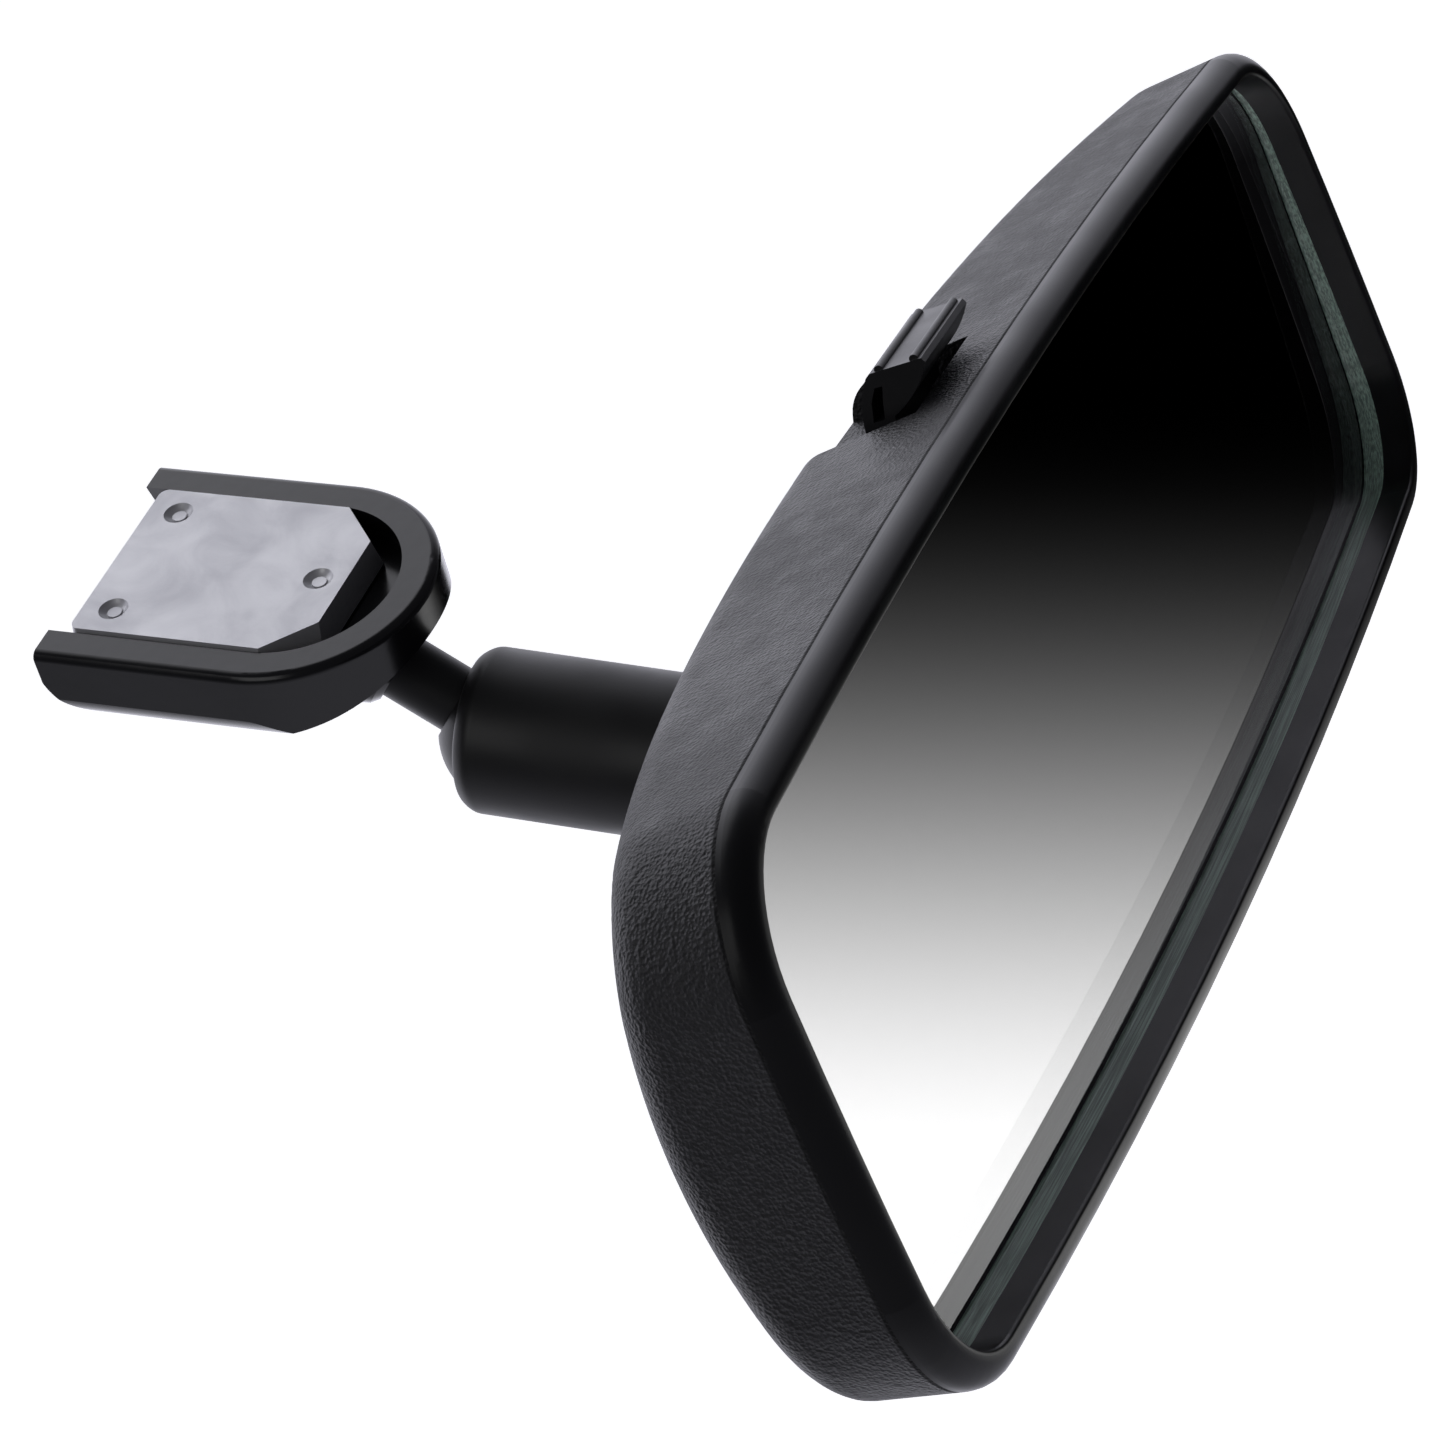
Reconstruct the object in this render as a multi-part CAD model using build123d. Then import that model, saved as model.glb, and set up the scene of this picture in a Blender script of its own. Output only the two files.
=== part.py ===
from build123d import *
from math import cos
from math import radians
from math import sin
from math import sqrt
from math import tan
import os

os.makedirs("parts", exist_ok=True)

# Interior rearview mirror, millimetres.
# Row frame: X along the mirror, Y from the driver to the windshield, +Z to the lever edge.
# The origin is the centre of the windshield button's bonding face.

# Placement
HEAD_AT = (2.1, -103.5, -38.7)       # centre of the bezel's rim plane
BALL_MOUNT = (2.1, -23.8, -30.3)     # centre of the mount ball
BALL_HEAD = (2.1, -75.5, -54.2)      # centre of the head ball
MOUNT_X = (0.9461, -0.2200, 0.2380)  # across the button
MOUNT_Z = (-0.2926, -0.2670, 0.9182)  # out of the button's bonding face

# Button and shoe, in the mount's own frame
BUTTON_W = 25.6
BUTTON_BACK_W = 28.0
BUTTON_T = 4.5
BUTTON_OPEN_Y = 16.3
BUTTON_END_Y = -15.2
BUTTON_CORNER = 5.5
CHANNEL_GAP = 0.3
CHANNEL_END_C = -8.2
SHOE_W = 35.4
SHOE_TOP = -0.4
RAIL_ROUND = 1.1
SHOE_OPEN_Y = 19.0
UNDERSIDE = [(19.3, -3.4), (17.6, -7.4), (13.0, -10.2), (2.0, -11.2), (-12.0, -9.6), (-21.0, -7.6), (-27.5, -4.6)]
NECK_DIR = (0.0, 0.808, 0.589)

# Ball joints and arm
BALL_R = 8.6
SEAT_IN = 8.65
SEAT_OUT = 8.9
SEAT_MOUTH_DEG = 33
BORE_R = 8.95
TUBE_R = 10.1
LIP_AX = 4.7
LIP_R = 7.7
NECK_R = 4.1
ARM_LEN = 56.96

# Head, in the head's own frame: rim plane at Y = 0
HALF_X = 118.0
HALF_Z = 29.0
BOW_LEVER = 3.6
BOW_FAR = 4.65
BOW_END = 0.94
CORNER_R = 14.0
RIM_W = 3.56
PARTING_Y = 3.5
GLASS_Y = 4.3
WALL = 2.0
WALL_TAPER = 6.0
DOME_AXIS_Y = -60.0
DOME_MID = [(0, 32.8), (50, 31.2), (75, 28.9), (110, 22.4), (128, 17.0)]
GLASS_MID_BACK = 8.3
WEDGE_DEG = 3.95
GLASS_LAP = 0.6
SILVER_GAP = 0.04
SILVER_T = 0.2
PAD_T = 1.0
CARRIER_T = 1.5
SCREW_X = 84.0
SCREW_Z = 14.0

# Toggle, in the head's own frame
STUD_Z = -15.5
MOUTH_R = 15.2
BRACKET_Y0 = 14.4
BRACKET_Y1 = 16.4
PIVOT_Y = 15.4
PIVOT_Z = -25.5
PIVOT_R = 1.5
LEVER_PIN_Y = 16.0
LEVER_PIN_Z = 26.0
LEVER_PIN_R = 1.25
CRANK_Z = 21.0
CRANK_R = 1.2
FLIP_DEG = 36.0


MOUNT_PLANE = Plane(origin=(0, 0, 0), x_dir=MOUNT_X, z_dir=MOUNT_Z)
BALL_LOCAL = MOUNT_PLANE.to_local_coords(Vector(*BALL_MOUNT))


def save(shape, node):
    export_step(shape, f"parts/{node}.step")


def in_head(shape):
    return Location(HEAD_AT) * shape


def in_mount(shape):
    return MOUNT_PLANE.location * shape


def in_arm(shape):
    # local +Z runs from the mount ball to the head ball
    run = Vector(*BALL_HEAD) - Vector(*BALL_MOUNT)
    return Plane(origin=BALL_MOUNT, x_dir=(1, 0, 0), z_dir=run).location * shape


def along_neck(shape):
    # local +Z runs from the mount ball into the shoe
    return Plane(origin=BALL_LOCAL, x_dir=(1, 0, 0), z_dir=NECK_DIR).location * shape


def turned(points):
    # solid of revolution about Z from (radius, height) points
    return revolve(make_face(Polyline(*[(r, 0, h) for r, h in points], close=True)), Axis.Z)


# ---------- windshield button and shoe ----------

def channel_plan(half, open_y):
    # straight sides with a half-round closed end
    end_mid = (0, CHANNEL_END_C - half)
    edges = Polyline((half, CHANNEL_END_C), (half, open_y), (-half, open_y), (-half, CHANNEL_END_C))
    end = ThreePointArc((-half, CHANNEL_END_C), end_mid, (half, CHANNEL_END_C))
    return make_face([*edges.edges(), end])


def button_plan(half):
    mid = (BUTTON_OPEN_Y + BUTTON_END_Y) / 2
    plan = Pos(0, mid) * Rectangle(2 * half, BUTTON_OPEN_Y - BUTTON_END_Y)
    closed = [v for v in plan.vertices() if v.Y < 0]
    plan = chamfer(closed, BUTTON_CORNER)
    tips = [v for v in plan.vertices() if v.Y > 0]
    return fillet(tips, 1.2)


def windshield_button():
    # dovetail wedge: narrow at the glass, wide at the back
    upper = button_plan(BUTTON_W / 2)
    lower = Pos(0, 0, -BUTTON_T) * button_plan(BUTTON_BACK_W / 2)
    body = loft([lower, upper])
    for x, y in [(-8.85, 12.1), (8.85, 12.1), (0, -11.6)]:
        body -= Pos(x, y, 1.5) * Sphere(2.4)
        body += Pos(x, y, -0.75) * Cylinder(0.9, 0.5)
    return body


def neck_boss():
    boss = turned([(0, 15.6), (4.7, 15.6), (5.7, 16.4), (7.2, 19.4), (7.6, 22.0), (7.6, 27.0), (0, 27.0)])
    return along_neck(boss)


def shoe_block():
    # plan of the shoe cut to its curved underside and rounded sides
    tall = Pos(0, 0, -20) * extrude(channel_plan(SHOE_W / 2, SHOE_OPEN_Y), amount=20 + SHOE_TOP)
    belly = Spline(*UNDERSIDE)
    first = UNDERSIDE[0]
    last = UNDERSIDE[-1]
    rest = Polyline(last, (last[0], 5), (first[0] + 0.6, 5), (first[0] + 0.6, first[1] + 1.5), first)
    side = Pos(-30, 0, 0) * extrude(Plane.YZ * make_face([belly, *rest.edges()]), amount=60)
    front = Pos(0, -3.2) * Rectangle(SHOE_W + 0.2, 16.4)
    front = fillet([v for v in front.vertices() if v.Y < 0], 5.0)
    round_sides = Pos(0, 40, 0) * extrude(Plane.XZ * front, amount=80)
    return tall & side & round_sides


def mount_shoe():
    body = shoe_block()
    body += neck_boss()
    top = BUTTON_W / 2 + CHANNEL_GAP
    deep = BUTTON_BACK_W / 2 + CHANNEL_GAP
    floor = -BUTTON_T - CHANNEL_GAP
    upper = channel_plan(top, SHOE_OPEN_Y + 8)
    lower = Pos(0, 0, -BUTTON_T) * channel_plan(deep, SHOE_OPEN_Y + 8)
    body -= loft([lower, upper])
    body -= Pos(0, 0, floor) * extrude(channel_plan(deep, SHOE_OPEN_Y + 8), amount=CHANNEL_GAP)
    body -= Pos(0, 0, 10 + SHOE_TOP) * Box(80, 120, 20)
    rails = [e for e in body.edges() if abs(e.center().Z - SHOE_TOP) < 0.01 and e.length > 8]
    outer = [e for e in rails if e.bounding_box().size.X < 0.1 or e.bounding_box().size.X > SHOE_W - 1]
    outer = [e for e in outer if abs(e.center().X) > SHOE_W / 2 - 0.5 or e.bounding_box().size.X > SHOE_W - 1]
    body = fillet(outer, RAIL_ROUND)
    body -= Pos(0, 2, -5.55) * Box(10, 20, 1.5)
    socket = Cylinder(NECK_R + 0.03, 10.6, align=(Align.CENTER, Align.CENTER, Align.MIN))
    body -= along_neck(Pos(0, 0, 10) * socket)
    return body


def retention_spring():
    lower = ThreePointArc((-7.5, -6.2), (2, -5.45), (11.5, -6.2))
    upper = ThreePointArc((11.5, -5.75), (2, -5.0), (-7.5, -5.75))
    sides = [Line((11.5, -6.2), (11.5, -5.75)), Line((-7.5, -5.75), (-7.5, -6.2))]
    face = make_face([lower, sides[0], upper, sides[1]])
    strip = extrude(Plane.YZ * face, amount=4, both=True)
    return strip


def mount_ball_stud():
    ball = Sphere(BALL_R)
    neck = turned([(0, 5), (NECK_R, 5), (NECK_R, 20.4), (0, 20.4)])
    return along_neck(ball + neck)


# ---------- ball seats and arm ----------

def seat_shell(open_deg):
    # thin spherical shell with a round mouth on +Z for the neck
    shell = Sphere(SEAT_OUT) - Sphere(SEAT_IN)
    reach = 14
    mouth = Cone(0.01, reach * tan(radians(open_deg)), reach, align=(Align.CENTER, Align.CENTER, Align.MIN))
    return shell - mouth


def mount_ball_seat():
    return along_neck(seat_shell(SEAT_MOUTH_DEG))


def head_ball_seat():
    # the mouth faces the driver
    turned_shell = Rot(90, 0, 0) * seat_shell(SEAT_MOUTH_DEG)
    return Location(BALL_HEAD) * turned_shell


def lip_profile():
    # rolled end of the tube below its ball centre, as a closed face in X and Z
    start = sqrt(BORE_R ** 2 - LIP_R ** 2)
    mid_r = BORE_R * cos(radians(22))
    mid_h = -BORE_R * sin(radians(22))
    inner = ThreePointArc((BORE_R, 0, 0), (mid_r, 0, mid_h), (LIP_R, 0, -start))
    lip = Polyline((LIP_R, 0, -start), (LIP_R, 0, -LIP_AX), (8.5, 0, -LIP_AX))
    outer = Spline((8.5, 0, -LIP_AX), (9.5, 0, -3.9), (TUBE_R, 0, -2.2), tangents=[(1, 0, 0.25), (0, 0, 1)])
    side = Polyline((TUBE_R, 0, -2.2), (TUBE_R, 0, 0), (BORE_R, 0, 0))
    return make_face([inner, *lip.edges(), outer, *side.edges()])


def arm_tube():
    lip = revolve(lip_profile(), Axis.Z)
    barrel = Cylinder(TUBE_R, ARM_LEN) - Cylinder(BORE_R, ARM_LEN)
    barrel = Pos(0, 0, ARM_LEN / 2) * barrel
    far = Pos(0, 0, ARM_LEN) * Rot(180, 0, 0) * lip
    return in_arm(barrel + lip + far)


def cup_local():
    # spring cup: a hollow in its lower face sits on the ball seat at the origin
    body = Pos(0, 0, 4.5) * Cylinder(BORE_R - 0.05, 6.5, align=(Align.CENTER, Align.CENTER, Align.MIN))
    body -= Sphere(BORE_R)
    body -= Cylinder(3.0, 40)
    return body


def mount_side_cup():
    return in_arm(cup_local())


def head_side_cup():
    return in_arm(Pos(0, 0, ARM_LEN) * Rot(180, 0, 0) * cup_local())


def arm_spring():
    low = 12.1
    high = ARM_LEN - 12.1
    path = Helix(pitch=(high - low) / 7, height=high - low, radius=6.6)
    start = path @ 0
    section = Plane(origin=start, z_dir=path % 0) * Circle(0.95)
    coil = sweep(section, path=path, is_frenet=True)
    return in_arm(Pos(0, 0, low) * coil)


# ---------- head outline and shells ----------

def bow_radius(half, bow):
    return (half ** 2 + bow ** 2) / (2 * bow)


def opening_plan(grow):
    # four bowed edges as overlapping discs; the plan's +Y is away from the lever edge
    lever_r = bow_radius(HALF_X, BOW_LEVER)
    far_r = bow_radius(HALF_X, BOW_FAR)
    end_r = bow_radius(HALF_Z, BOW_END)
    face = Pos(0, lever_r - HALF_Z - BOW_LEVER) * Circle(lever_r + grow)
    face = face & (Pos(0, HALF_Z + BOW_FAR - far_r) * Circle(far_r + grow))
    face = face & (Pos(HALF_X + BOW_END - end_r, 0) * Circle(end_r + grow))
    face = face & (Pos(end_r - HALF_X - BOW_END, 0) * Circle(end_r + grow))
    return fillet(face.vertices(), CORNER_R + grow)


def slab(grow, y0, y1):
    # prism of the outline between two depths
    return Rot(-90, 0, 0) * (Pos(0, 0, y0) * extrude(opening_plan(grow), amount=y1 - y0))


def dome(cut):
    # domed back: an arched profile turned about a far axis
    right = [(x, y - cut) for x, y in DOME_MID]
    left = [(-x, y) for x, y in reversed(right[1:])]
    pts = left + right
    top = Spline(*pts)
    rest = Polyline(pts[-1], (128, -30), (-128, -30), pts[0])
    face = make_face([top, *rest.edges()])
    return revolve(face, Axis((0, DOME_AXIS_Y, 0), (1, 0, 0)))


def head_form(inset, edge_r):
    lean = 36 * tan(radians(WALL_TAPER))
    near = opening_plan(RIM_W - inset)
    deep = Pos(0, 0, 36) * opening_plan(RIM_W - inset - lean)
    wall = Rot(-90, 0, 0) * (Pos(0, 0, PARTING_Y) * loft([near, deep]))
    form = wall & dome(inset)
    back = [e for e in form.edges() if e.bounding_box().min.Y > PARTING_Y + 5]
    if edge_r:
        form = fillet(back, edge_r)
    return form


def tilted(shape):
    # frame of the glass's sloping back face
    return Pos(0, GLASS_MID_BACK, 0) * Rot(WEDGE_DEG, 0, 0) * shape


def layer(plan_solid, near, far):
    block = tilted(Pos(0, (near + far) / 2, 0) * Box(300, far - near, 140))
    return plan_solid & block


def screw_spots():
    return [(-SCREW_X, SCREW_Z), (SCREW_X, SCREW_Z), (-SCREW_X, -SCREW_Z), (SCREW_X, -SCREW_Z)]


def along_depth(shape, x, y, z):
    # local +Z becomes +Y at the given point
    return Pos(x, y, z) * Rot(-90, 0, 0) * shape


def rod_x(radius, half, y, z):
    return Pos(0, y, z) * Rot(0, 90, 0) * Cylinder(radius, 2 * half)


def box_between(x0, x1, y0, y1, z0, z1):
    return Pos((x0 + x1) / 2, (y0 + y1) / 2, (z0 + z1) / 2) * Box(x1 - x0, y1 - y0, z1 - z0)


def rear_housing():
    outer = head_form(0, 5.5)
    inner = head_form(WALL, 3.6)
    solid_in = head_form(WALL - 0.6, 4.2)
    body = outer - inner
    # pocket walls round the lever
    pocket = box_between(-13.0, 13.0, 8.9, 40, 28.0, 42) & outer
    body += pocket
    body -= box_between(-11.4, 11.4, 10.4, 60, 29.5, 60)
    body -= box_between(-6.6, 6.6, 12.6, 24.2, 26, 34)
    # ears for the lever pin
    for side in (-1, 1):
        ear = box_between(6.5, 8.7, 13.0, 19.0, 22.9, 28.4)
        ear = ear if side > 0 else mirror(ear, about=Plane.YZ)
        body += ear
    body -= rod_x(LEVER_PIN_R + 0.02, 8.4, LEVER_PIN_Y, LEVER_PIN_Z)
    # ears for the bracket pivot
    for side in (-1, 1):
        x0, x1 = (22.5, 26.5) if side > 0 else (-26.5, -22.5)
        ear = box_between(x0, x1, 12.9, 40, PIVOT_Z - 4, PIVOT_Z + 4) & solid_in
        body += ear
    body -= rod_x(PIVOT_R + 0.02, 25.4, PIVOT_Y, PIVOT_Z)
    # screw towers for the carrier plate
    gap = SILVER_T + PAD_T + CARRIER_T
    for x, z in screw_spots():
        tower = tilted(along_depth(Cylinder(3.6, 30, align=(Align.CENTER, Align.CENTER, Align.MIN)), x, gap, z))
        body += tower & solid_in
        pilot = Cylinder(1.42, 9, align=(Align.CENTER, Align.CENTER, Align.MIN))
        body -= tilted(along_depth(pilot, x, gap - 0.5, z))
    # round mouth for the arm
    mouth = Cylinder(MOUTH_R, 30, align=(Align.CENTER, Align.CENTER, Align.MIN))
    body -= along_depth(mouth, 0, 18, STUD_Z + 1.2)
    flare = Cone(MOUTH_R - 0.5, MOUTH_R + 3.5, 4, align=(Align.CENTER, Align.CENTER, Align.MIN))
    body -= along_depth(flare, 0, 29.4, STUD_Z + 1.2)
    return in_head(body)


def front_bezel():
    ring = slab(RIM_W, 0, PARTING_Y)
    front = [e for e in ring.edges() if e.bounding_box().max.Y < 0.01]
    ring = fillet(front, 2.9)
    ring += slab(1.25, 1.0, GLASS_Y)
    ring -= slab(0, -2, 10)
    return in_head(fillet(front_inner_edges(ring), 0.5))


def front_inner_edges(ring):
    # edges of the opening at the rim plane
    plan = slab(0.05, -1, 1)
    keep = []
    for e in ring.edges():
        if e.bounding_box().max.Y > 0.01:
            continue
        if plan.is_inside(e.position_at(0.5)):
            keep.append(e)
    return keep


def mirror_glass():
    return in_head(layer(slab(GLASS_LAP, GLASS_Y, 20), -30, 0))


def silver_coating():
    return in_head(layer(slab(GLASS_LAP, GLASS_Y + 0.5, 20), SILVER_GAP, SILVER_T))


def plate_plan(half_x, half_z):
    plan = RectangleRounded(2 * half_x, 2 * half_z, 12)
    return Rot(-90, 0, 0) * extrude(plan, amount=25)


def backing_pad():
    pad = layer(plate_plan(113, 26.5), SILVER_T, SILVER_T + PAD_T)
    pad -= along_depth(Cylinder(9, 60), 0, 0, STUD_Z)
    return in_head(pad)


def carrier_plate():
    near = SILVER_T + PAD_T
    plate = layer(plate_plan(112.5, 26.2), near, near + CARRIER_T)
    plate -= along_depth(Cylinder(9, 60), 0, 0, STUD_Z)
    plate -= box_between(-30, 30, 0, 30, -40, PIVOT_Z + 4.5)
    for x, z in screw_spots():
        plate -= tilted(along_depth(screw_local(0.05), x, near, z))
    return in_head(plate)


def screw_local(grow):
    # flush-headed screw: head at the origin, shank along +Z
    g = grow
    pts = [(0, 0), (2.9 + g, 0), (2.9 + g, 0.15), (1.4 + g, 1.3), (1.4 + g, 8.0), (0, 8.0)]
    return turned(pts)


def carrier_screw(index):
    x, z = screw_spots()[index]
    body = screw_local(0)
    body -= Box(0.7, 3.6, 1.0)
    body -= Box(3.6, 0.7, 1.0)
    return in_head(tilted(along_depth(body, x, SILVER_T + PAD_T, z)))


# ---------- toggle ----------

def head_ball_stud():
    reach = 28.0 - (BRACKET_Y0 - 1.9)
    foot = 28.0 - BRACKET_Y1
    pts = [(0, 5), (3.6, 5), (3.6, foot), (2.0, foot), (2.0, reach), (0, reach)]
    body = Sphere(BALL_R) + turned(pts)
    return Location(BALL_HEAD) * (Rot(90, 0, 0) * body)


def head_stud_nut():
    nut = extrude(RegularPolygon(3.8, 6), amount=1.7)
    nut -= Cylinder(2.03, 20)
    return in_head(along_depth(nut, 0, BRACKET_Y0 - 1.7, STUD_Z))


def toggle_bracket():
    plate = box_between(-22.0, 22.0, BRACKET_Y0, BRACKET_Y1, PIVOT_Z + 0.5, 4)
    plate += box_between(-8, 8, BRACKET_Y0, BRACKET_Y1, 0, 17.6)
    upright = [e for e in plate.edges().filter_by(Axis.Y) if e.center().Z > 2 and abs(e.center().X) > 7]
    plate = fillet(upright, 1.6)
    # folded side flanges stiffen the plate
    for x in (-22.0, 20.2):
        plate += box_between(x, x + 1.8, BRACKET_Y0, 20.0, PIVOT_Z + 5, 2)
    # knuckles round the pivot pin
    for x0, x1 in [(-22.0, -8.0), (8.0, 22.0)]:
        knuckle = Pos((x0 + x1) / 2, PIVOT_Y, PIVOT_Z) * Rot(0, 90, 0) * Cylinder(3.0, x1 - x0)
        plate += knuckle
    plate -= rod_x(PIVOT_R + 0.05, 40, PIVOT_Y, PIVOT_Z)
    # open fork that the lever's crank pin works in
    for x0 in (-5.2, 3.2):
        tab = box_between(x0, x0 + 2.0, 13.3, 19.6, 15, 22.9)
        tab -= box_between(x0 - 1, x0 + 3, 14.5, 17.7, 18.6, 30)
        plate += tab
    plate -= along_depth(Cylinder(2.02, 40), 0, 0, STUD_Z)
    return in_head(plate)


def bracket_pivot_pin():
    return in_head(rod_x(PIVOT_R, 25.2, PIVOT_Y, PIVOT_Z))


def lever_pivot_pin():
    return in_head(rod_x(LEVER_PIN_R, 8.3, LEVER_PIN_Y, LEVER_PIN_Z))


def toggle_lever():
    # finger paddle in Y and Z
    left = Polyline((17.7, 32.6), (14.6, 32.6), (13.9, 35.0))
    front = ThreePointArc((13.9, 35.0), (10.2, 37.3), (8.0, 39.9))
    top = Polyline((8.0, 39.9), (8.3, 40.5), (14.8, 40.5), (15.4, 40.1))
    rear = ThreePointArc((15.4, 40.1), (17.2, 37.0), (18.0, 34.0))
    last = Line((18.0, 34.0), (17.7, 32.6))
    face = make_face([*left.edges(), front, *top.edges(), rear, last])
    paddle = extrude(Plane.YZ * face, amount=9, both=True)
    # two grip ridges along the top
    for y in (9.3, 13.7):
        paddle += rod_x(0.55, 8.6, y, 40.5)
    # narrow slot under the rear skin, open at both ends
    slot = Polyline((16.6, 34.9), (15.9, 37.2), (14.9, 38.7), (13.9, 38.7), (14.6, 36.9), (15.2, 34.9), close=True)
    hollow = make_face(slot)
    paddle -= Plane.YZ * Pos(0, 0, 3.0) * extrude(hollow, amount=10)
    paddle -= Plane.YZ * Pos(0, 0, -13.0) * extrude(hollow, amount=10)
    shank = box_between(-6.0, 6.0, 14.7, 17.5, LEVER_PIN_Z, 33)
    hub = rod_x(2.4, 6.0, LEVER_PIN_Y, LEVER_PIN_Z)
    crank = box_between(-2.5, 2.5, 14.3, 17.7, CRANK_Z, LEVER_PIN_Z)
    crank += rod_x(1.7, 2.5, LEVER_PIN_Y, CRANK_Z)
    body = paddle + shank + hub + crank
    body -= rod_x(LEVER_PIN_R + 0.05, 20, LEVER_PIN_Y, LEVER_PIN_Z)
    body -= rod_x(0.9 + 0.02, 20, LEVER_PIN_Y, CRANK_Z)
    return in_head(body)


def crank_pin():
    return in_head(rod_x(0.9, 5.4, LEVER_PIN_Y, CRANK_Z))


save(in_mount(windshield_button()), "windshield_button")
save(in_mount(mount_shoe()), "mount_shoe")
save(in_mount(retention_spring()), "retention_spring")
save(in_mount(mount_ball_stud()), "mount_ball_stud")
save(in_mount(mount_ball_seat()), "mount_ball_seat")
save(arm_tube(), "arm_tube")
save(mount_side_cup(), "mount_side_cup")
save(head_side_cup(), "head_side_cup")
save(arm_spring(), "arm_spring")
save(head_ball_seat(), "head_ball_seat")
save(head_ball_stud(), "head_ball_stud")
save(head_stud_nut(), "head_stud_nut")
save(toggle_bracket(), "toggle_bracket")
save(bracket_pivot_pin(), "bracket_pivot_pin")
save(rear_housing(), "rear_housing")
save(front_bezel(), "front_bezel")
save(mirror_glass(), "mirror_glass")
save(silver_coating(), "silver_coating")
save(backing_pad(), "backing_pad")
save(carrier_plate(), "carrier_plate")
for number in range(4):
    save(carrier_screw(number), f"carrier_screw_{number + 1}")
save(toggle_lever(), "toggle_lever")
save(lever_pivot_pin(), "lever_pivot_pin")
save(crank_pin(), "crank_pin")
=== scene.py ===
import bpy
from mathutils import Matrix, Vector


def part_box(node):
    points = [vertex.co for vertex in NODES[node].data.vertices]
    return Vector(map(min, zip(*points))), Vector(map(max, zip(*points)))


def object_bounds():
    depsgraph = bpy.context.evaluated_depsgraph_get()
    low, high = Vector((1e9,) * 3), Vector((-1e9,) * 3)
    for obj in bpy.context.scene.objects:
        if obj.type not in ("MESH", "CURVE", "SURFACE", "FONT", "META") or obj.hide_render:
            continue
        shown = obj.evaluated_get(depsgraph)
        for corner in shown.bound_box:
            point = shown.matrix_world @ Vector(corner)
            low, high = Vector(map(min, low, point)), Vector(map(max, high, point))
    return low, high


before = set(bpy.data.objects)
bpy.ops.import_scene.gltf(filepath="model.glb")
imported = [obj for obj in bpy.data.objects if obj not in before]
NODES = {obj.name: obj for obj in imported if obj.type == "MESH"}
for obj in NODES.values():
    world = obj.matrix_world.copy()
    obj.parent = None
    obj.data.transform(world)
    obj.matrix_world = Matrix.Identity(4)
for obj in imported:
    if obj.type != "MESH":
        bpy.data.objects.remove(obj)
cad_low, cad_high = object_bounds()


def mm(*v):
    return Vector(v) / 1000


# ---------- node helpers ----------

class Net:
    def __init__(self, name):
        self.mat = bpy.data.materials.new(name)
        self.mat.use_nodes = True
        self.tree = self.mat.node_tree
        self.tree.nodes.clear()
        self.out = self.add("ShaderNodeOutputMaterial")
        self.bsdf = self.add("ShaderNodeBsdfPrincipled")
        self.link(self.bsdf.outputs[0], self.out.inputs["Surface"])
        self.coord = self.add("ShaderNodeTexCoord").outputs["Object"]

    def add(self, kind, **values):
        node = self.tree.nodes.new(kind)
        for key, value in values.items():
            setattr(node, key, value)
        return node

    def link(self, a, b):
        self.tree.links.new(a, b)

    def put(self, socket, value):
        if hasattr(value, "is_output"):
            self.link(value, socket)
        else:
            socket.default_value = value

    def set(self, **values):
        for key, value in values.items():
            self.put(self.bsdf.inputs[key.replace("_", " ")], value)

    def noise(self, scale, detail=3.0, rough=0.5, distort=0.0, vector=None):
        n = self.add("ShaderNodeTexNoise")
        n.inputs["Scale"].default_value = scale
        n.inputs["Detail"].default_value = detail
        n.inputs["Roughness"].default_value = rough
        n.inputs["Distortion"].default_value = distort
        self.link(vector or self.coord, n.inputs["Vector"])
        return n.outputs["Fac"]

    def cells(self, scale, feature="F1", smooth=0.6):
        n = self.add("ShaderNodeTexVoronoi", feature=feature)
        n.inputs["Scale"].default_value = scale
        if feature == "SMOOTH_F1":
            n.inputs["Smoothness"].default_value = smooth
        self.link(self.coord, n.inputs["Vector"])
        return n.outputs["Distance"]

    def math(self, op, a, b=0.0, c=0.0):
        n = self.add("ShaderNodeMath", operation=op)
        for socket, value in zip(n.inputs, (a, b, c)):
            self.put(socket, value)
        return n.outputs[0]

    def fit(self, value, low, high, to_low=0.0, to_high=1.0):
        n = self.add("ShaderNodeMapRange", interpolation_type="SMOOTHSTEP")
        keys = ("Value", "From Min", "From Max", "To Min", "To Max")
        for key, v in zip(keys, (value, low, high, to_low, to_high)):
            self.put(n.inputs[key], v)
        return n.outputs[0]

    def mix(self, fac, a, b):
        n = self.add("ShaderNodeMix", data_type="RGBA")
        self.put(n.inputs[0], fac)
        for socket, value in ((n.inputs[6], a), (n.inputs[7], b)):
            if not hasattr(value, "is_output"):
                value = (*value[:3], 1.0)
            self.put(socket, value)
        return n.outputs[2]

    def bump(self, height, strength, distance):
        n = self.add("ShaderNodeBump")
        n.inputs["Strength"].default_value = strength
        n.inputs["Distance"].default_value = distance
        self.link(height, n.inputs["Height"])
        return n.outputs[0]


def dress(material, *names):
    for name in names:
        mesh = NODES[name].data
        mesh.materials.clear()
        mesh.materials.append(material)


# ---------- materials ----------

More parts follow.
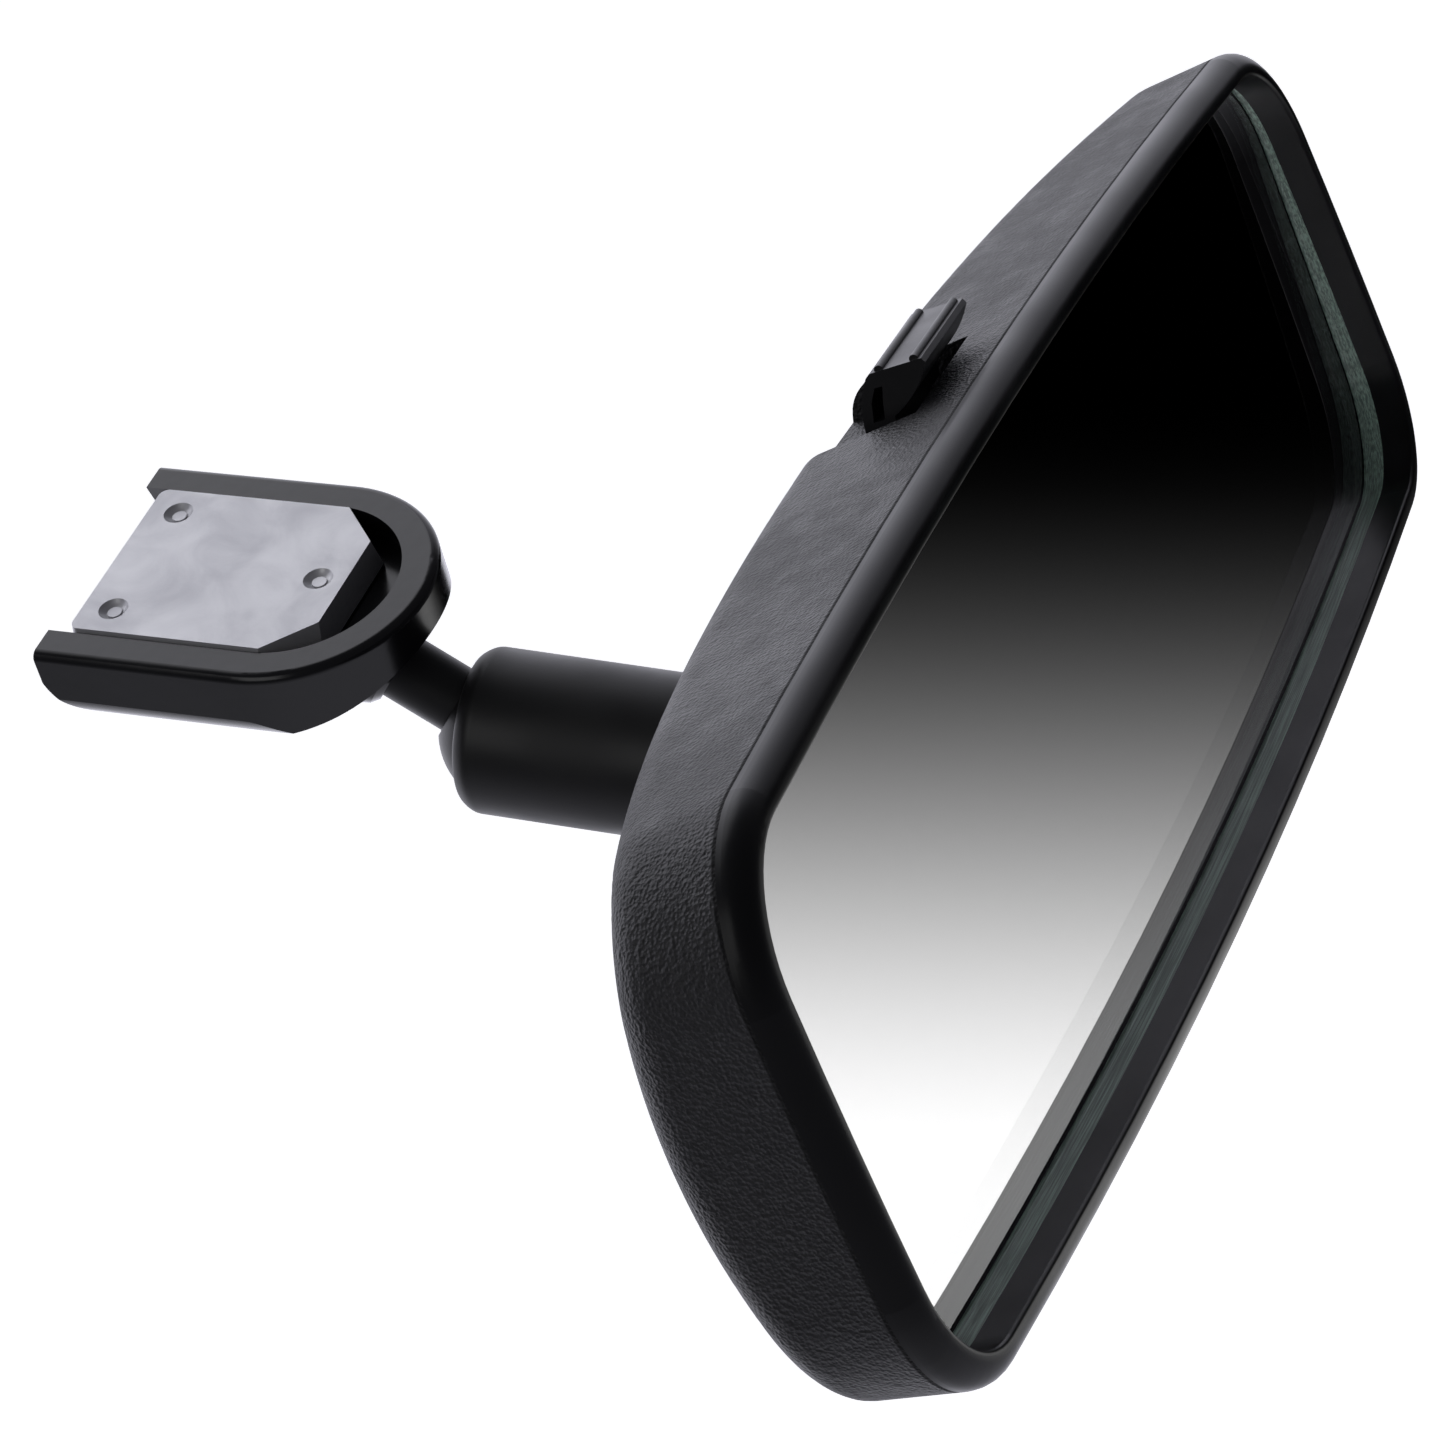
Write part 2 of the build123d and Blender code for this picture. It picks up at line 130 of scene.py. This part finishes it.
def housing_black():
    # fine leather grain moulded in black plastic
    n = Net("housing_grain")
    warp = n.noise(260, 2.0)
    pebbles = n.cells(2300, "SMOOTH_F1", smooth=0.4)
    fine = n.noise(2600, 2.0, 0.6)
    veins = n.cells(1450, "SMOOTH_F1", smooth=0.9)
    height = n.math("ADD", n.math("MULTIPLY", pebbles, 0.7), n.math("MULTIPLY", fine, 0.55))
    height = n.math("ADD", height, n.math("MULTIPLY", veins, 0.35))
    patch = n.noise(28, 3.0)
    shade = n.fit(n.math("ADD", n.math("MULTIPLY", fine, 0.6), n.math("MULTIPLY", patch, 0.4)), 0.3, 0.7)
    # painted shade: a fine dark line where the housing meets the bezel, standing in for the shade in the seam
    # groove
    seam = min(v.co.y for v in NODES["rear_housing"].data.vertices)
    split = n.add("ShaderNodeSeparateXYZ")
    n.link(n.coord, split.inputs[0])
    line = n.fit(split.outputs["Y"], seam + 0.00030, seam + 0.00060, 1.0, 0.0)
    grain = n.mix(shade, (0.011, 0.011, 0.0125), (0.021, 0.021, 0.0235))
    # the base colour goes near black along the seam line: painted shade of the groove
    n.set(Base_Color=n.mix(line, grain, (0.002, 0.002, 0.0022)))
    worn = n.math("ADD", n.math("MULTIPLY", warp, 0.5), n.math("MULTIPLY", patch, 0.5))
    n.set(Roughness=n.math("ADD", n.fit(worn, 0.35, 0.65, 0.44, 0.56), n.math("MULTIPLY", line, 0.4)))
    n.set(Specular_IOR_Level=0.5)
    n.set(Normal=n.bump(height, 1.0, 0.00025))
    return n.mat


def bezel_black():
    n = Net("bezel_satin")
    soft = n.noise(60, 3.0)
    fine = n.noise(3200, 2.0)
    n.set(Base_Color=n.mix(soft, (0.0075, 0.0075, 0.0085), (0.0115, 0.0115, 0.0125)))
    n.set(Roughness=n.fit(soft, 0.3, 0.7, 0.28, 0.36))
    n.set(Specular_IOR_Level=0.24)
    n.set(Normal=n.bump(fine, 0.12, 0.00003))
    return n.mat


def arm_black():
    # thin satin coat on steel
    n = Net("arm_coat")
    soft = n.noise(90, 3.0)
    fine = n.noise(2400, 2.0, 0.6)
    n.set(Base_Color=n.mix(soft, (0.0085, 0.0085, 0.009), (0.013, 0.013, 0.0135)))
    n.set(Roughness=n.fit(soft, 0.3, 0.7, 0.4, 0.5))
    n.set(Normal=n.bump(fine, 0.16, 0.00004))
    return n.mat


def shoe_black():
    # glossy enamel over a casting
    n = Net("shoe_enamel")
    peel = n.noise(420, 2.0)
    soft = n.noise(45, 3.0)
    n.set(Base_Color=n.mix(soft, (0.006, 0.006, 0.007), (0.011, 0.011, 0.013)))
    n.set(Roughness=n.fit(soft, 0.3, 0.7, 0.16, 0.24))
    n.set(Normal=n.bump(peel, 0.3, 0.00006))
    return n.mat


def button_metal():
    # fine cast metal with faint grey stains
    n = Net("button_cast")
    stain = n.noise(120, 5.0, 0.62, 0.8)
    broad = n.noise(34, 3.0, 0.5, 0.6)
    fine = n.noise(2200, 3.0, 0.6)
    tone = n.math("ADD", n.math("MULTIPLY", stain, 0.55), n.math("MULTIPLY", broad, 0.45))
    n.set(Base_Color=n.mix(n.fit(tone, 0.34, 0.62), (0.60, 0.60, 0.63), (0.72, 0.72, 0.74)))
    n.set(Metallic=0.55)
    n.set(Roughness=n.fit(tone, 0.3, 0.7, 0.5, 0.38))
    n.set(Normal=n.bump(fine, 0.25, 0.00005))
    return n.mat


def steel(name, base, rough):
    n = Net(name)
    line = n.noise(700, 3.0, 0.6)
    soft = n.noise(80, 3.0)
    low = tuple(c * 0.86 for c in base)
    n.set(Base_Color=n.mix(soft, low, base))
    n.set(Metallic=1.0)
    n.set(Roughness=n.fit(line, 0.3, 0.7, rough - 0.06, rough + 0.06))
    n.set(Normal=n.bump(line, 0.12, 0.00004))
    return n.mat


def plain_black(name, base, rough):
    n = Net(name)
    soft = n.noise(120, 3.0)
    fine = n.noise(1800, 2.0)
    low = tuple(c * 0.75 for c in base)
    n.set(Base_Color=n.mix(soft, low, base))
    n.set(Roughness=n.fit(soft, 0.3, 0.7, rough - 0.05, rough + 0.05))
    n.set(Normal=n.bump(fine, 0.2, 0.00004))
    return n.mat


def foam():
    n = Net("pad_foam")
    pores = n.cells(1400)
    n.set(Base_Color=n.mix(pores, (0.02, 0.02, 0.02), (0.05, 0.05, 0.052)))
    n.set(Roughness=0.9)
    n.set(Normal=n.bump(pores, 0.5, 0.0001))
    return n.mat


# the glass wedge: clear in front, mirrored where its sloping back face is
glass_low, glass_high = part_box("mirror_glass")
back_face = max(NODES["mirror_glass"].data.polygons, key=lambda p: p.normal.y * p.area)
BACK_POINT = back_face.center.copy()
BACK_NORMAL = back_face.normal.copy()
FRONT_Y = glass_low.y


def glass_wedge():
    n = Net("glass_wedge")
    split = n.add("ShaderNodeSeparateXYZ")
    n.link(n.coord, split.inputs[0])
    dot = n.math("MULTIPLY_ADD", split.outputs["Y"], BACK_NORMAL.y, -BACK_POINT.dot(BACK_NORMAL))
    dot = n.math("MULTIPLY_ADD", split.outputs["Z"], BACK_NORMAL.z, dot)
    silvered = n.math("GREATER_THAN", dot, -0.00002)
    # the silvered face mirrors square to the front, so the picture in it stays straight
    square = n.add("ShaderNodeVectorTransform", vector_type="NORMAL",
                   convert_from="OBJECT", convert_to="WORLD")
    square.inputs[0].default_value = (0, -1, 0)
    own = n.add("ShaderNodeNewGeometry").outputs["Normal"]
    pick = n.add("ShaderNodeMix", data_type="VECTOR")
    n.link(silvered, pick.inputs[0])
    n.link(own, pick.inputs[4])
    n.link(square.outputs[0], pick.inputs[5])
    # ground rim of the glass: dull green with streaks drawn along the edge
    turned = n.add("ShaderNodeVectorTransform", vector_type="NORMAL",
                   convert_from="WORLD", convert_to="OBJECT")
    n.link(own, turned.inputs[0])
    facing = n.add("ShaderNodeSeparateXYZ")
    n.link(turned.outputs[0], facing.inputs[0])
    rim = n.math("LESS_THAN", n.math("ABSOLUTE", facing.outputs["Y"]), 0.6)
    face = n.mix(silvered, (0.97, 0.985, 0.977), (0.915, 0.90, 0.91))
    drawn = n.add("ShaderNodeMapping")
    drawn.inputs["Scale"].default_value = (0.04, 1, 1)
    n.link(n.coord, drawn.inputs["Vector"])
    streak = n.fit(n.noise(1500, 3.0, 0.6, vector=drawn.outputs[0]), 0.38, 0.66)
    n.set(Base_Color=n.mix(rim, face, n.mix(streak, (0.22, 0.32, 0.27), (0.62, 0.86, 0.74))))
    n.set(Metallic=n.math("MULTIPLY", silvered, n.math("SUBTRACT", 1.0, rim)), Normal=pick.outputs[1])
    n.set(Transmission_Weight=n.math("SUBTRACT", 1.0, rim), IOR=1.52)
    n.set(Roughness=n.math("MULTIPLY", rim, 0.35))
    return n.mat


dress(housing_black(), "rear_housing")
dress(bezel_black(), "front_bezel")
dress(arm_black(), "arm_tube", "mount_ball_stud", "head_ball_stud")
dress(shoe_black(), "mount_shoe")
dress(button_metal(), "windshield_button")
dress(glass_wedge(), "mirror_glass")
dress(steel("silver_layer", (0.9, 0.9, 0.9), 0.08), "silver_coating")
dress(steel("spring_wire", (0.45, 0.45, 0.46), 0.32), "arm_spring", "retention_spring")
dress(steel("zinc_plate", (0.55, 0.55, 0.53), 0.36), "toggle_bracket", "head_stud_nut", "bracket_pivot_pin",
      "lever_pivot_pin", "crank_pin", "carrier_screw_1", "carrier_screw_2", "carrier_screw_3", "carrier_screw_4")
dress(plain_black("seat_plastic", (0.012, 0.012, 0.0125), 0.35), "mount_ball_seat", "head_ball_seat",
      "mount_side_cup", "head_side_cup")
dress(plain_black("carrier_plastic", (0.03, 0.03, 0.03), 0.55), "carrier_plate")
dress(plain_black("lever_plastic", (0.019, 0.019, 0.0205), 0.34), "toggle_lever")
dress(foam(), "backing_pad")


# ---------- camera ----------

EYE = mm(-553.6, -326.0, 162.1)
AHEAD = Vector((0.8514, 0.4259, -0.3062)).normalized()
UP = Vector((0.4347, -0.2460, 0.8663))
UP = (UP - AHEAD * UP.dot(AHEAD)).normalized()
SIDE = AHEAD.cross(UP)

cam_data = bpy.data.cameras.new("camera")
cam = bpy.data.objects.new("camera", cam_data)
bpy.context.scene.collection.objects.link(cam)
turn = Matrix((SIDE, UP, -AHEAD)).transposed()
cam.matrix_world = Matrix.Translation(EYE) @ turn.to_4x4()
cam_data.sensor_width = 36
cam_data.lens = 137.97
cam_data.shift_x = 0.0056
cam_data.shift_y = 0.0102
cam_data.clip_start = 0.01
cam_data.clip_end = 60
bpy.context.scene.camera = cam


# ---------- stage ----------

def sheet(name, center, right, up):
    # a flat card from its centre and its two half sides
    corners = [center - right - up, center + right - up, center + right + up, center - right + up]
    mesh = bpy.data.meshes.new(name)
    mesh.from_pydata([tuple(c) for c in corners], [], [(0, 1, 2, 3)])
    layer = mesh.uv_layers.new()
    for loop, uv in zip(layer.data, [(0, 0), (1, 0), (1, 1), (0, 1)]):
        loop.uv = uv
    obj = bpy.data.objects.new(name, mesh)
    bpy.context.scene.collection.objects.link(obj)
    return obj


def set_range(node, from_min, from_max, to_min, to_max):
    # an eased map from one span to another
    node.interpolation_type = "SMOOTHSTEP"
    for key, value in zip(("From Min", "From Max", "To Min", "To Max"), (from_min, from_max, to_min, to_max)):
        node.inputs[key].default_value = value


FLOOR_DROP = 0.42
FLOOR_HALF = 30.0
CARD_REACH = 0.30
CARD_HALF = 0.092
CARD_ASPECT = 1.6


def pale_floor():
    mat = bpy.data.materials.new("floor_pale")
    mat.use_nodes = True
    bsdf = mat.node_tree.nodes["Principled BSDF"]
    bsdf.inputs["Base Color"].default_value = (0.9, 0.9, 0.9, 1)
    bsdf.inputs["Roughness"].default_value = 0.9
    bsdf.inputs["Emission Color"].default_value = (1, 1, 1, 1)
    bsdf.inputs["Emission Strength"].default_value = 0.72
    level = Vector((0, 0, cad_low.z - FLOOR_DROP))
    floor = sheet("floor", level, Vector((FLOOR_HALF, 0, 0)), Vector((0, FLOOR_HALF, 0)))
    floor.data.materials.append(mat)
    # the floor only shows; it throws no light up at the object
    floor.visible_diffuse = False
    floor.visible_glossy = False


def through_glass(ray):
    # a view ray leaves the mirror square to its front face
    return Vector((ray.x, -ray.y, ray.z))


def gradient_card():
    # studio card that the mirror shows: dark at one end, bright at the other
    mid = (glass_low + glass_high) / 2
    mid.y = FRONT_Y
    eye_to_mid = (mid - EYE).normalized()
    out = through_glass(eye_to_mid)
    center = mid + out * CARD_REACH

    def landing(point):
        d = through_glass((point - EYE).normalized())
        t = (center - point).dot(out) / d.dot(out)
        return point + d * t
    # the direction on the card that reads as upwards in the view
    probe = mid + Vector((0.001, 0, 0))
    probe_z = mid + Vector((0, 0, 0.001))
    a, b = landing(probe) - center, landing(probe_z) - center
    du, dv = [((probe - EYE).normalized() - eye_to_mid).dot(v) for v in (SIDE, UP)]
    eu, ev = [((probe_z - EYE).normalized() - eye_to_mid).dot(v) for v in (SIDE, UP)]
    det = du * ev - dv * eu
    side = (a * ev - b * dv) / det
    rise = (b * du - a * eu) / det
    half = CARD_HALF / (mid - EYE).length
    obj = sheet("gradient_card", center, side * half * CARD_ASPECT, rise * half)
    mat = bpy.data.materials.new("gradient_card")
    mat.use_nodes = True
    t = mat.node_tree
    t.nodes.clear()
    coord = t.nodes.new("ShaderNodeTexCoord")
    split = t.nodes.new("ShaderNodeSeparateXYZ")
    rise_off = t.nodes.new("ShaderNodeMapRange")
    set_range(rise_off, 0.675, 0.135, 0.0, 1.0)
    curve = t.nodes.new("ShaderNodeMath")
    curve.operation = "POWER"
    curve.inputs[1].default_value = 2.2
    glow = t.nodes.new("ShaderNodeEmission")
    end = t.nodes.new("ShaderNodeOutputMaterial")
    t.links.new(coord.outputs["UV"], split.inputs[0])
    t.links.new(split.outputs["Y"], rise_off.inputs["Value"])
    t.links.new(rise_off.outputs[0], curve.inputs[0])
    t.links.new(curve.outputs[0], glow.inputs["Color"])
    t.links.new(glow.outputs[0], end.inputs["Surface"])
    glow.inputs["Strength"].default_value = 1.25
    obj.data.materials.append(mat)
    obj.visible_camera = False
    obj.visible_diffuse = False
    obj.visible_shadow = False


def soft_light(name, place, aim, width, height, power, tint=(1, 1, 1)):
    data = bpy.data.lights.new(name, "AREA")
    data.shape = "RECTANGLE"
    data.size = width
    data.size_y = height
    data.energy = power
    data.color = tint
    obj = bpy.data.objects.new(name, data)
    bpy.context.scene.collection.objects.link(obj)
    obj.location = place
    obj.rotation_euler = (Vector(aim) - Vector(place)).to_track_quat("-Z", "Y").to_euler()
    obj.visible_camera = False


def studio():
    # bright sweep behind the object, a dim studio on the camera's side
    world = bpy.data.worlds.new("studio")
    bpy.context.scene.world = world
    world.use_nodes = True
    t = world.node_tree
    back = t.nodes["Background"]
    coord = t.nodes.new("ShaderNodeTexCoord")
    dot = t.nodes.new("ShaderNodeVectorMath")
    dot.operation = "DOT_PRODUCT"
    dot.inputs[1].default_value = Vector((0.72, 0.62, 0.12)).normalized()
    t.links.new(coord.outputs["Generated"], dot.inputs[0])
    sweep = t.nodes.new("ShaderNodeMapRange")
    set_range(sweep, 0.25, 0.85, 0.07, 1.3)
    t.links.new(dot.outputs["Value"], sweep.inputs["Value"])
    # a little light comes back up from below
    split = t.nodes.new("ShaderNodeSeparateXYZ")
    t.links.new(coord.outputs["Generated"], split.inputs[0])
    bounce = t.nodes.new("ShaderNodeMapRange")
    set_range(bounce, -0.15, -0.95, 0.0, 0.5)
    t.links.new(split.outputs["Z"], bounce.inputs["Value"])
    total = t.nodes.new("ShaderNodeMath")
    t.links.new(sweep.outputs[0], total.inputs[0])
    t.links.new(bounce.outputs[0], total.inputs[1])
    path = t.nodes.new("ShaderNodeLightPath")
    level = t.nodes.new("ShaderNodeMix")
    t.links.new(path.outputs["Is Camera Ray"], level.inputs[0])
    t.links.new(total.outputs[0], level.inputs[2])
    level.inputs[3].default_value = 1.1
    t.links.new(level.outputs[0], back.inputs["Strength"])
    back.inputs["Color"].default_value = (0.955, 0.955, 1.06, 1)
    mid = (cad_low + cad_high) / 2
    soft_light("top", mid + Vector((0.35, 0.45, 0.9)), mid, 1.1, 0.9, 2.0, (0.96, 0.97, 1))
    soft_light("left", mid + Vector((-0.9, 0.25, 0.5)), mid, 0.5, 0.7, 1.0)


pale_floor()
gradient_card()
studio()
bpy.context.scene.view_settings.view_transform = "Standard"
